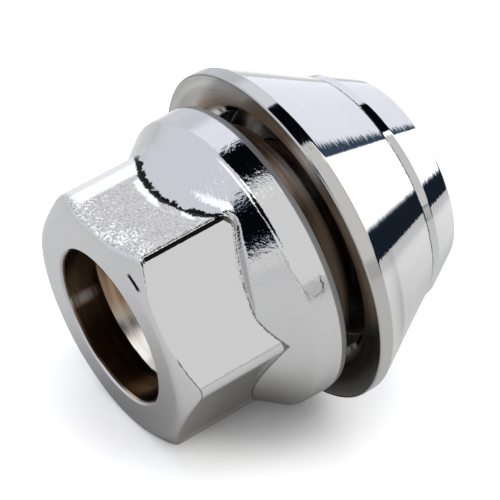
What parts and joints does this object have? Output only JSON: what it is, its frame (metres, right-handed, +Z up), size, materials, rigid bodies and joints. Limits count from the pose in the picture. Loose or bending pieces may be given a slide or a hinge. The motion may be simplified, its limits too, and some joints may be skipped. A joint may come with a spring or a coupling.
{
  "type": "wheel nut with captive conical collar",
  "caption": "Open-ended hexagon wheel nut with a skirt and flange, and a captive conical collar that spins on its spigot to seat in a wheel.",
  "frame": {"origin": "on the resting plane, under the middle of the bounding box of the whole nut, which lies on its side", "axes": "+X along the nut from the hexagon's open end to the collar's nose, seen from above; +Z up. The nut's own axis leans up from +X by 16.82 degrees about Y, because the nut rests on the end of its lowest flat and on the rim of the collar; +Y across the nut"},
  "size_m": [0.0306, 0.028, 0.0271],
  "materials": {
    "nut_chrome": "bright chrome plate on forged steel, thinner and browner in the bore",
    "collar_chrome": "bright chrome plate over turning marks"
  },
  "bodies": {
    "nut": {"nut_body": "nut_chrome"},
    "collar": {"cone_collar": "collar_chrome"}
  },
  "joints": [
    {"name": "collar_spin", "type": "hinge", "parent": "nut", "child": "collar", "pos_m": [0.0069, 0, 0.01496], "axis": [0.9572, 0, 0.2894], "continuous": true}
  ]
}
